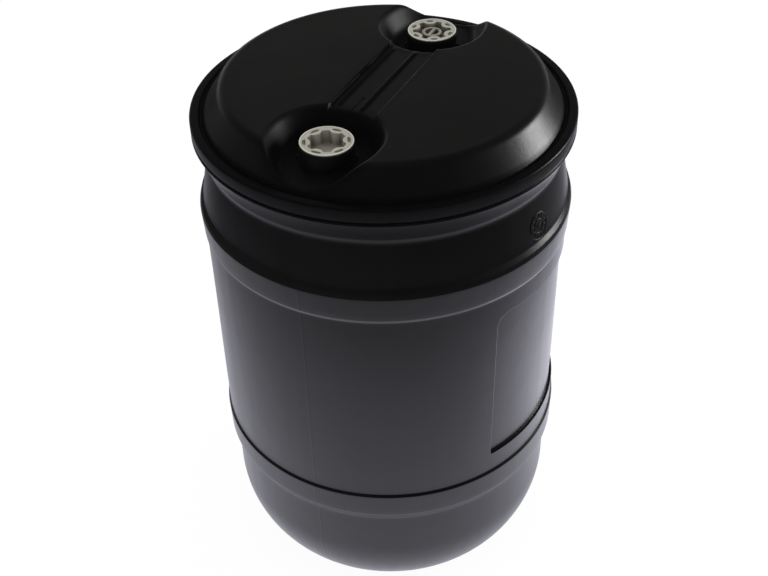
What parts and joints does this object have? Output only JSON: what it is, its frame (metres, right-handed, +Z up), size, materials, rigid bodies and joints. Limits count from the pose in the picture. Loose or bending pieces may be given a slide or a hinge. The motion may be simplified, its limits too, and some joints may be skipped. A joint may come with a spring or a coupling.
{
  "type": "closed-head plastic drum",
  "caption": "Closed-head plastic drum with an L-ring, rolling hoops, a domed head with sunk bung wells, and screw plugs that unscrew from threaded necks",
  "frame": {"origin": "centre of the foot ring, on the floor", "axes": "+Z up along the drum's axis; both bungs stand on the Y axis, the plain filling plug at -Y and the plug with the small centre plug at +Y; the label panel faces +X"},
  "size_m": [0.5826, 0.5823, 0.885],
  "materials": {
    "drum_black": "blow-moulded HDPE, satin",
    "neck_black": "injection-moulded HDPE",
    "plug_natural": "natural HDPE, slightly translucent",
    "seal_rubber": "black seal rubber"
  },
  "bodies": {
    "drum": {"drum_shell": "drum_black", "fill_neck": "neck_black", "vent_neck": "neck_black"},
    "fill_seal": {"fill_gasket": "seal_rubber"},
    "fill_closure": {"fill_plug": "plug_natural"},
    "vent_seal": {"vent_gasket": "seal_rubber"},
    "vent_closure": {"vent_plug": "plug_natural"},
    "tap_seal": {"tap_gasket": "seal_rubber"},
    "tap_closure": {"tap_plug": "plug_natural"}
  },
  "joints": [
    {"name": "fill_plug_lift", "type": "slide", "parent": "drum", "child": "fill_seal", "axis": [0, 0, 1], "range_m": [0, 0.024]},
    {"name": "fill_plug_turn", "type": "hinge", "parent": "fill_seal", "child": "fill_closure", "pos_m": [0, -0.181, 0.86], "axis": [0, 0, 1], "range_deg": [0, 1445]},
    {"name": "vent_plug_lift", "type": "slide", "parent": "drum", "child": "vent_seal", "axis": [0, 0, 1], "range_m": [0, 0.024]},
    {"name": "vent_plug_turn", "type": "hinge", "parent": "vent_seal", "child": "vent_closure", "pos_m": [0, 0.181, 0.86], "axis": [0, 0, 1], "range_deg": [0, 1445]},
    {"name": "tap_plug_lift", "type": "slide", "parent": "vent_closure", "child": "tap_seal", "axis": [0, 0, 1], "range_m": [0, 0.016]},
    {"name": "tap_plug_turn", "type": "hinge", "parent": "tap_seal", "child": "tap_closure", "pos_m": [0, 0.181, 0.866], "axis": [0, 0, 1], "range_deg": [0, 2890]}
  ],
  "couplings": [
    {"joint": "fill_plug_turn", "follows": "fill_plug_lift", "rad_per_m": 1047.2},
    {"joint": "vent_plug_turn", "follows": "vent_plug_lift", "rad_per_m": 1047.2},
    {"joint": "tap_plug_turn", "follows": "tap_plug_lift", "rad_per_m": 3141.6}
  ]
}
